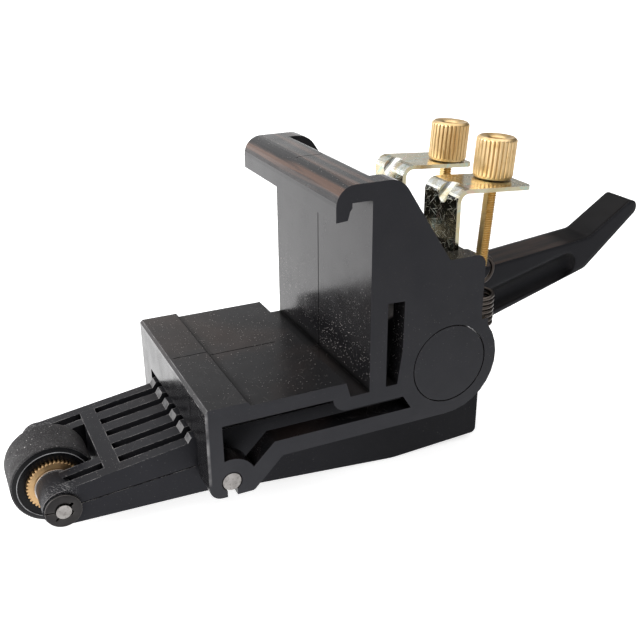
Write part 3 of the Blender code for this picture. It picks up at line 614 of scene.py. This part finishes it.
def zinc_sheet():
    """Yellow-passivated zinc: straw, green and pink tints, a web of bright handling scratches, and a painted
    highlight on the bends.
    """
    g = Graph("zinc_looks")
    along_x = g.unsigned(g.facing["X"])
    colour = g.mix(g.spread(g.noise(140, 3.0, distortion=0.8), 0.35, 0.65), ZINC_STRAW, ZINC_PALE)
    colour = g.mix(g.spread(g.noise(210, 2.0, distortion=1.5), 0.56, 0.68), colour, ZINC_GREEN)
    colour = g.mix(g.spread(g.noise(260, 2.0, distortion=1.2), 0.60, 0.70), colour, ZINC_PINK)
    # Painted highlight: on the bends, where faces turn from x toward z, the colour whitens in cloudy
    # patches.
    bend = g.times(g.spread(along_x, 0.12, 0.3), g.spread(g.facing["Z"], 0.12, 0.3))
    cloudy = g.spread(g.noise(330, 4.0), 0.38, 0.60, 0.1, 0.85)
    colour = g.mix(g.times(bend, cloudy), colour, ZINC_BEND_HIGHLIGHT)
    patches = g.spread(g.noise(120, 2.0), 0.40, 0.55, 0.35, 1.0)
    leg_web = g.times(g.crossed(4600, 150, 0.69, UPRIGHT_TURNS), patches, g.spread(along_x, 0.6, 0.9))
    tab_web = g.times(g.crossed(3600, 190, 0.70, LEVEL_TURNS), g.up(), 0.35)
    web = g.most(leg_web, tab_web)
    colour = g.mix(web, colour, ZINC_SCRATCH)
    colour = g.mix(g.times(g.edges(0.25), 0.6), colour, ZINC_EDGE)
    roughness = g.plus(g.spread(g.noise(420, 3.0), 0.3, 0.7, 0.14, 0.26), g.times(web, 0.5))
    normal = g.bump(web, 0.05, g.bump(g.noise(380, 3.0), 0.03))
    return g.finish(colour, roughness, normal, Metallic=1.0)


def rubber_tread():
    """Matt ground rubber with a fine pale grain and dots of dust."""
    g = Graph("tread_looks")
    tone = g.spread(g.noise(110, 4.0), 0.3, 0.7)
    colour = g.mix(tone, (0.008, 0.0072, 0.0078), (0.015, 0.0135, 0.0142))
    grain = g.spread(g.noise(2400, 3.0), 0.50, 0.64)
    colour = g.mix(g.times(grain, 0.45), colour, RUBBER_GRAIN)
    dots = g.times(g.most(g.specks(1500, 0.26, 0.42), g.specks(800, 0.2, 0.16)), 0.75)
    colour = g.mix(dots, colour, RUBBER_DUST)
    roughness = g.spread(g.noise(300, 3.0), 0.3, 0.7, 0.55, 0.72)
    height = g.plus(g.times(g.noise(1700, 3.0), 0.7), g.times(g.noise(600, 2.0), 0.3))
    return g.finish(colour, roughness, g.bump(height, 0.06), IOR=1.32)


def rubber_core(name, dark, light):
    """The smooth sides of the tyre, with paler edges as a painted highlight."""
    g = Graph(name)
    colour = g.mix(g.spread(g.noise(160, 3.0), 0.3, 0.7), dark, light)
    # Painted highlight: the edges turn paler in broken stretches.
    rim = g.times(g.edges(0.25), g.spread(g.noise(200, 3.0), 0.38, 0.60, 0.1, 0.7))
    colour = g.mix(rim, colour, RUBBER_RIM_HIGHLIGHT)
    colour = g.mix(g.times(g.specks(700, 0.20, 0.08), 0.35), colour, CORE_DUST)
    roughness = g.spread(g.noise(220, 3.0), 0.3, 0.7, 0.20, 0.32)
    return g.finish(colour, roughness, g.bump(g.noise(900, 3.0), 0.012), IOR=1.22)


LOOKS = {
    "black_housing": moulded_plastic(
        "housing_looks", (0.004, 0.004, 0.0047), (0.0075, 0.0072, 0.0078), 0.22, 0.48, 1.45,
        dust=0.75, scratch=0.12, wear=0.08, dust_from=-2,
        pale=worn_front_edge, brown_tint=hook_brown_reflection, painted_shade_marks=step_shade_lines),
    "black_arm": moulded_plastic(
        "arm_looks", (0.0125, 0.0125, 0.0145), (0.0165, 0.0165, 0.019), 0.38, 0.42, 1.22,
        dust=0.5, scratch=0.12, wear=0.9,
        pale=scuffs_and_rib_highlight, painted_shade=rear_painted_shade),
    "black_lever": moulded_plastic(
        "lever_looks", (0.006, 0.006, 0.0069), (0.0095, 0.0095, 0.0107), 0.36, 0.40, 1.29,
        dust=0.05, scratch=0.03, wear=0.1,
        brown_tint=lever_brown_streaks, painted_shade_marks=lever_tip_shade, hollow=(9, 0.74, 0.97), rounding=2.0),
    "rubber": rubber_tread(),
    "brass": metal("brass_looks", (0.68, 0.47, 0.22), (0.82, 0.61, 0.34), 0.38, depth=0.004,
                   spots=(0.64, 0.43, 0.19), groove=(0.38, 0.235, 0.09), scratches=0.06),
    "steel": metal("steel_looks", (0.22, 0.208, 0.20), (0.34, 0.325, 0.315), 0.42, grain=3600,
                   depth=0.03, spots=(0.17, 0.16, 0.152), flank_darkening=0.95),
    "zinc": zinc_sheet(),
    "spring_steel": metal("spring_looks", (0.06, 0.050, 0.045), (0.11, 0.095, 0.085), 0.30),
}
CORE_LOOKS = rubber_core("core_looks", (0.003, 0.003, 0.0036), (0.006, 0.006, 0.0068))
# The raised rims are pale: a painted highlight line around the core.
RIM_HIGHLIGHT_LOOKS = rubber_core("rim_highlight_looks", (0.05, 0.05, 0.052), (0.30, 0.30, 0.31))
# The retainers' edges take a paler colour: a painted highlight along their rims.
CLIP_LOOKS = metal("clip_looks", (0.017, 0.016, 0.0165), (0.036, 0.0345, 0.0345), 0.32,
                   grain=1100, edge=(0.34, 0.31, 0.29))
ROD_LOOKS = metal("rod_looks", (0.74, 0.51, 0.20), (0.90, 0.66, 0.31), 0.44, depth=0.004,
                  spots=(0.68, 0.46, 0.18), groove=(0.60, 0.39, 0.14), scratches=0.06)
# The washers' steel is lighter than the pins': a painted highlight for their thin visible arc.
WASHER_HIGHLIGHT_LOOKS = metal("washer_highlight_looks", (0.38, 0.36, 0.35), (0.55, 0.53, 0.52), 0.26, grain=1100)
HUB_LOOKS = metal("hub_looks", (0.44, 0.28, 0.135), (0.56, 0.375, 0.195), 0.42, grain=1400,
                  depth=0.02, groove=(0.20, 0.115, 0.05))


# Shaping -----------------------------------------------------------------------------------------

def add_piece(name, mesh, look, place=None):
    """An object with its mesh moved into place, so that the object itself stays at the origin."""
    piece = bpy.data.objects.new(name, mesh)
    bpy.context.scene.collection.objects.link(piece)
    if place:
        mesh.transform(place)
    mesh.materials.clear()
    mesh.materials.append(look)
    return piece


def stand_in(piece, node):
    """The piece is shown instead of a CAD node, on the node's body."""
    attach(piece, NODES[node]["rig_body"])
    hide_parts(node)


def shade(mesh, angle):
    """Smooth shading, sharp only where faces meet at more than the angle, in degrees."""
    mesh.shade_smooth()
    mesh.set_sharp_from_angle(angle=math.radians(angle))


def ring_body(name, shape, rings, closed):
    """Mesh over rings of vertices that are already in the BMesh. A closed body joins its last ring
    to the first, and an open one gets a face on each end."""
    following = rings[1:] + rings[:1] if closed else rings[1:]
    for ring, above in zip(rings, following):
        for i in range(len(ring)):
            j = (i + 1) % len(ring)
            shape.faces.new((ring[i], ring[j], above[j], above[i]))
    if not closed:
        shape.faces.new(rings[0])
        shape.faces.new(rings[-1])
    bmesh.ops.recalc_face_normals(shape, faces=shape.faces)
    mesh = bpy.data.meshes.new(name)
    shape.to_mesh(mesh)
    shape.free()
    return mesh


def knurled_body(name, levels, teeth, tooth):
    """Turned body with straight teeth. levels: (height, radius, share of the groove's depth), all
    the way round the section. tooth: (place in one tooth from 0 to 1, depth of the groove)."""
    shape = bmesh.new()
    grooves = shape.verts.layers.float.new("groove")
    deepest = max(depth for _, depth in tooth)
    columns = [
        (2 * math.pi * (i + place) / teeth, depth)
        for i in range(teeth)
        for place, depth in tooth
    ]
    rings = []
    for height, radius, share in levels:
        ring = []
        for angle, depth in columns:
            r = (radius - share * depth) * MM
            vert = shape.verts.new((r * math.cos(angle), r * math.sin(angle), height * MM))
            vert[grooves] = share * depth / deepest
            ring.append(vert)
        rings.append(ring)
    return ring_body(name, shape, rings, closed=True)


def turned_body(name, profile, steps):
    """Body turned about local Z from (radius, height) points all the way round its section."""
    levels = [(height, radius, 0) for radius, height in profile]
    return knurled_body(name, levels, steps, ((0, 1),))


def wire_body(name, route, radius, sides=12):
    """Round wire along a dense list of points, closed at both ends."""
    shape = bmesh.new()
    rings = []
    sideways = (route[1] - route[0]).orthogonal()
    for i, point in enumerate(route):
        ahead = (route[min(i + 1, len(route) - 1)] - route[max(i - 1, 0)]).normalized()
        sideways = (sideways - ahead * sideways.dot(ahead)).normalized()
        upward = ahead.cross(sideways)
        turns = [2 * math.pi * k / sides for k in range(sides)]
        spokes = [math.cos(a) * sideways + math.sin(a) * upward for a in turns]
        rings.append([shape.verts.new(point + spoke * radius) for spoke in spokes])
    mesh = ring_body(name, shape, rings, closed=False)
    shade(mesh, 60)
    return mesh


def arc_points(centre, radius, start, end, step=4):
    """Points along an arc, with its angles in degrees."""
    count = max(2, math.ceil(abs(end - start) / step))
    angles = [math.radians(start + (end - start) * i / count) for i in range(count + 1)]
    return [(centre[0] + radius * math.cos(a), centre[1] + radius * math.sin(a)) for a in angles]


def plate_body(name, outline, thickness, bevel):
    """Flat body from an outline in the local XY plane, with softly rounded edges."""
    curve = bpy.data.curves.new(name, "CURVE")
    curve.dimensions = "2D"
    curve.fill_mode = "BOTH"
    curve.extrude = thickness / 2 * MM
    spline = curve.splines.new("POLY")
    spline.points.add(len(outline) - 1)
    for point, (x, y) in zip(spline.points, outline):
        point.co = (x * MM, y * MM, 0, 1)
    spline.use_cyclic_u = True
    shaper = bpy.data.objects.new(name, curve)
    bpy.context.scene.collection.objects.link(shaper)
    bpy.context.view_layer.update()
    depsgraph = bpy.context.evaluated_depsgraph_get()
    mesh = bpy.data.meshes.new_from_object(shaper.evaluated_get(depsgraph))
    bpy.data.objects.remove(shaper, do_unlink=True)
    shape = bmesh.new()
    shape.from_mesh(mesh)
    bmesh.ops.remove_doubles(shape, verts=shape.verts, dist=0.001 * MM)
    bmesh.ops.dissolve_limit(shape, angle_limit=0.001, verts=shape.verts, edges=shape.edges)
    sharp = [edge for edge in shape.edges if edge.is_manifold and edge.calc_face_angle() > 0.7]
    bmesh.ops.bevel(shape, geom=sharp, offset=bevel * MM, segments=2, profile=0.5, affect="EDGES")
    bmesh.ops.recalc_face_normals(shape, faces=shape.faces)
    shape.to_mesh(mesh)
    shape.free()
    return mesh


def cut(mesh, tool_mesh):
    """The mesh with another closed mesh cut away from it."""
    body = bpy.data.objects.new("cut_body", mesh)
    tool = bpy.data.objects.new("cut_tool", tool_mesh)
    for item in (body, tool):
        bpy.context.scene.collection.objects.link(item)
    boolean = body.modifiers.new("Cut", "BOOLEAN")
    boolean.operation = "DIFFERENCE"
    boolean.solver = "EXACT"
    boolean.object = tool
    bpy.context.view_layer.update()
    depsgraph = bpy.context.evaluated_depsgraph_get()
    result = bpy.data.meshes.new_from_object(body.evaluated_get(depsgraph))
    for item in (body, tool):
        bpy.data.objects.remove(item, do_unlink=True)
    return result


# Thumb nuts and threaded rods --------------------------------------------------------------------

def rod_place(side):
    """Local Z along the tilted rod, from the top of the bracket's tab."""
    joint = JOINTS["nut_" + side + "_turn"]
    axis = Vector(joint["axis"])
    return Matrix.Translation(joint["pos_m"]) @ Matrix.Rotation(math.atan2(axis.x, axis.z), 4, "Y")


def make_nut(side):
    """Knurled grip between a plain foot and a rounded top, with a bore that widens upward."""
    foot = [(0.30, NUT_BORE, 0), (0.30, 5.28, 0), (0.36, 5.42, 0), (0.50, 5.50, 0), (0.74, 5.52, 0)]
    grip = [
        (0.88, 5.60, 0.25), (1.05, 5.68, 0.8), (1.25, 5.70, 1), (6.0, 5.70, 1), (10.75, 5.70, 1),
        (11.00, 5.68, 0.8), (11.16, 5.62, 0.3), (11.26, 5.54, 0.05), (11.34, 5.46, 0),
    ]
    top = [(11.66, 5.10, 0), (11.77, 4.94, 0), (11.80, 4.78, 0), (11.77, 4.62, 0), (11.50, 3.5, 0)]
    bore = [(11.38, 3.0, 0), (11.20, 2.65, 0), (10.90, NUT_BORE, 0), (9.0, NUT_BORE, 0), (3.0, NUT_BORE, 0)]
    tooth = [(0.02, 0.15), (0.10, 0), (0.32, 0), (0.54, 0), (0.62, 0.15), (0.72, 0.80), (0.79, 1), (0.85, 1),
             (0.92, 0.80)]
    tooth = [(place, depth * NUT_GROOVE) for place, depth in tooth]
    name = "knurled_nut_" + side
    mesh = knurled_body(name, foot + grip + top + bore, NUT_KNURLS, tooth)
    shade(mesh, 32)
    stand_in(add_piece(name, mesh, LOOKS["brass"], rod_place(side)), "thumb_nut_" + side)


def make_rod(side):
    """Round bar with an outside thread and two flats, and the cross hole for the spring's loop."""
    shape = bmesh.new()
    grooves = shape.verts.layers.float.new("groove")
    count = round((ROD_TOP - ROD_BOTTOM) / (THREAD_PITCH / THREAD_LEVELS))
    rings = []
    for level in range(count + 1):
        height = ROD_BOTTOM + (ROD_TOP - ROD_BOTTOM) * level / count
        chamfer = max(0.0, ROD_CHAMFER - min(height - ROD_BOTTOM, ROD_TOP - height))
        ring = []
        for k in range(ROD_SIDES):
            angle = 2 * math.pi * k / ROD_SIDES
            turn = (height / THREAD_PITCH - k / ROD_SIDES) % 1.0
            groove = min(1.0, max(0.0, 1.25 - 2.5 * abs(turn - 0.5)))
            radius = ROD_R - THREAD_DEPTH * groove - chamfer
            x = max(-ROD_FLAT, min(ROD_FLAT, radius * math.cos(angle)))
            vert = shape.verts.new((x * MM, radius * math.sin(angle) * MM, height * MM))
            on_flat = abs(x) >= ROD_FLAT - 0.01
            vert[grooves] = 0.0 if on_flat else groove
            ring.append(vert)
        rings.append(ring)
    mesh = ring_body("rod_" + side, shape, rings, closed=False)
    axis_r = 0.001
    drill = turned_body("drill", [(axis_r, -3), (ROD_HOLE_R, -3), (ROD_HOLE_R, 3), (axis_r, 3)], 32)
    drill.transform(Matrix.Translation((0, 0, ROD_HOLE_Z * MM)) @ Matrix.Rotation(math.pi / 2, 4, "Y"))
    mesh = cut(mesh, drill)
    shade(mesh, 30)
    stand_in(add_piece("thread_" + side, mesh, ROD_LOOKS, rod_place(side)), "threaded_rod_" + side)


# Springs -----------------------------------------------------------------------------------------

def loop_points(loop, arc):
    """Points along a spring's end loop, in the plane that looks along y."""
    height, radius = loop
    return [(x, 0, z) for x, z in arc_points((SPRING_X, height), radius, *arc, LOOP_STEP)]


def spring_route(y_middle):
    """Wire's centre line from the lower loop's open end, up the coil, to the upper loop's open end."""
    neck_x = SPRING_X - SPRING_R + NECK_IN
    points = loop_points(LOW_LOOP, LOW_LOOP_ARC)
    points.append((neck_x, 0, COIL_BOTTOM - NECK))
    count = COIL_TURNS * COIL_STEPS
    for i in range(count + 1):
        angle = math.pi + 2 * math.pi * i / COIL_STEPS
        height = COIL_BOTTOM + (COIL_TOP - COIL_BOTTOM) * i / count
        points.append((SPRING_X + SPRING_R * math.cos(angle), SPRING_R * math.sin(angle), height))
    points.append((neck_x, 0, COIL_TOP + NECK))
    points += loop_points(TOP_LOOP, TOP_LOOP_ARC)
    route = [Vector(points[0])]
    for start, end in zip(points, points[1:]):
        gap = Vector(end) - Vector(start)
        steps = max(1, round(gap.length / WIRE_STEP))
        route += [Vector(start) + gap * k / steps for k in range(1, steps + 1)]
    for _ in range(WIRE_SMOOTHING):
        middle = [(a + b * 2 + c) / 4 for a, b, c in zip(route, route[1:], route[2:])]
        route = [route[0], *middle, route[-1]]
    return [(point + Vector((0, y_middle, 0))) * MM for point in route]


def make_spring(side):
    """The wire in two halves, upper and lower, split at SPRING_SPLIT, in place of the CAD spring."""
    low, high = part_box("spring_" + side)
    y_middle = (low.y + high.y) / 2 / MM
    route = spring_route(y_middle)
    split = next(i for i, point in enumerate(route) if point.z > SPRING_SPLIT * MM)
    halves = (
        ("upper", route[split:], "rod_" + side, COIL_TOP + 1, "frame", SPRING_SPLIT),
        ("lower", route[:split + 1], "frame", SPRING_SPLIT, "arm", COIL_BOTTOM - 1),
    )
    for half, points, top_body, top, bottom_body, bottom in halves:
        mesh = wire_body("spring_" + half, points, WIRE_R * MM)
        piece = add_piece("spring_" + half + "_" + side, mesh, LOOKS["spring_steel"])
        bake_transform(piece)
        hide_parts("spring_" + side)


# Roller and retainers ----------------------------------------------------------------------------

def axle_place():
    """Local Z along +Y, on the axle's centre."""
    return Matrix.Translation(JOINTS["roller_spin"]["pos_m"]) @ Matrix.Rotation(-math.pi / 2, 4, "X")


def mirrored(profile):
    """A section given for the upper half, completed by its mirror image below."""
    return profile + [(radius, -height) for radius, height in reversed(profile)]


def make_tyre():
    """Ground tread, smooth core, and a thin raised rim on each side of the core, coloured pale as a painted
    highlight line.
    """
    tread = mirrored([
        (9.4, 6.2), (10.78, 6.42), (10.94, 6.40), (11.05, 6.28), (11.09, 6.08), (11.1, 5.6), (11.1, 2.0),
    ])
    core = mirrored([
        (HUB_R + 0.02, 6.60), (HUB_R + 0.15, 6.68), (9.20, 6.68), (9.36, 6.74), (9.46, 6.86),
        (9.64, 6.92), (9.78, 6.88), (10.70, 6.50), (10.80, 6.42), (10.74, 6.30), (10.5, 6.0), (10.5, 2.0),
    ])
    rim = [(9.40, 6.7), (9.42, 6.93), (9.48, 6.99), (9.56, 6.99), (9.64, 6.95), (9.72, 6.7)]
    pieces = [("roller_tread", tread, LOOKS["rubber"]), ("roller_core", core, CORE_LOOKS)]
    for side, sign in SIDES.items():
        pieces.append(("roller_rim_" + side, [(radius, sign * height) for radius, height in rim], RIM_HIGHLIGHT_LOOKS))
    for name, profile, look in pieces:
        mesh = turned_body(name, profile, ROLLER_STEPS)
        shade(mesh, 40)
        stand_in(add_piece(name, mesh, look, axle_place()), "roller_tyre")


def make_hub():
    """Toothed hub with a bore for the axle. It is a little wider than the tyre's core."""
    tooth = [(0.02, 0.45), (0.14, 0.14), (0.29, 0), (0.44, 0.14), (0.56, 0.45), (0.68, 0.85), (0.79, 1),
             (0.90, 0.85)]
    tooth = [(place, depth * HUB_TOOTH) for place, depth in tooth]
    upper = [
        (7.35, 2.25, 0), (7.58, 2.5, 0), (7.60, 5.2, 0), (7.60, 6.5, 0), (7.59, 7.05, 0.8),
        (7.50, HUB_R - 0.05, 0.95), (7.30, HUB_R, 1), (4.0, HUB_R, 1),
    ]
    levels = upper + [(-height, radius, share) for height, radius, share in reversed(upper)]
    mesh = knurled_body("hub", levels, HUB_TEETH, tooth)
    shade(mesh, 30)
    stand_in(add_piece("toothed_hub", mesh, HUB_LOOKS, axle_place()), "roller_hub")


def make_retainer(side):
    """Split push-on ring of the CAD node's size, with notches in its bore."""
    low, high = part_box("axle_retainer_" + side)
    outline = arc_points((0, 0), (high.x - low.x) / 2 / MM, *CLIP_OUTER_ARC)
    for radius, start, end in CLIP_INNER_ARCS:
        outline += arc_points((0, 0), radius, start, end)
    name = "clip_" + side
    mesh = plate_body(name, outline, (high.y - low.y) / MM, CLIP_BEVEL)
    shade(mesh, 35)
    swap_y_z = Matrix(((1, 0, 0, 0), (0, 0, 1, 0), (0, 1, 0, 0), (0, 0, 0, 1)))
    piece = add_piece(name, mesh, CLIP_LOOKS, Matrix.Translation((low + high) / 2) @ swap_y_z)
    piece.data.flip_normals()       # the swap of two axes turns the faces inside out
    stand_in(piece, "axle_retainer_" + side)


make_tyre()
make_hub()
for side_name in SIDES:
    make_nut(side_name)
    make_rod(side_name)
    make_spring(side_name)
    make_retainer(side_name)


# CAD nodes that stay: softened edges and the looks of their slot ----------------------------------

EDGES = {                       # width of a node's softened edges, and their segments
    "housing": (0.3, 2), "roller_arm": (0.3, 2), "lever_cam": (1.6, 4),
    "pivot_pin": (0.3, 2), "axle_pin": (0.35, 2),
}
PAIRED_EDGES = {"journal": (0.25, 2), "bracket": (0.3, 4), "axle_washer": (0.12, 2)}
for side_name in SIDES:
    EDGES.update({kind + "_" + side_name: edge for kind, edge in PAIRED_EDGES.items()})


def soften(item, width, segments):
    """Round a CAD node's edges by modifiers, and leave its mesh as it is."""
    weld = item.modifiers.new("Weld", "WELD")
    weld.merge_threshold = 0.002 * MM
    bevel = item.modifiers.new("Bevel", "BEVEL")
    bevel.width = width * MM
    bevel.segments = segments
    bevel.limit_method = "ANGLE"
    bevel.angle_limit = math.radians(28)
    bevel.use_clamp_overlap = True
    normals = item.modifiers.new("Normals", "WEIGHTED_NORMAL")
    normals.keep_sharp = True


for node_name, (edge_width, edge_segments) in EDGES.items():
    node_mesh = NODES[node_name].data
    node_mesh.materials.clear()
    # Washers take the lighter steel that stands in for their highlight.
    node_mesh.materials.append(WASHER_HIGHLIGHT_LOOKS if "washer" in node_name else LOOKS[SLOTS[node_name]])
    soften(NODES[node_name], edge_width, edge_segments)

bpy.context.view_layer.update()
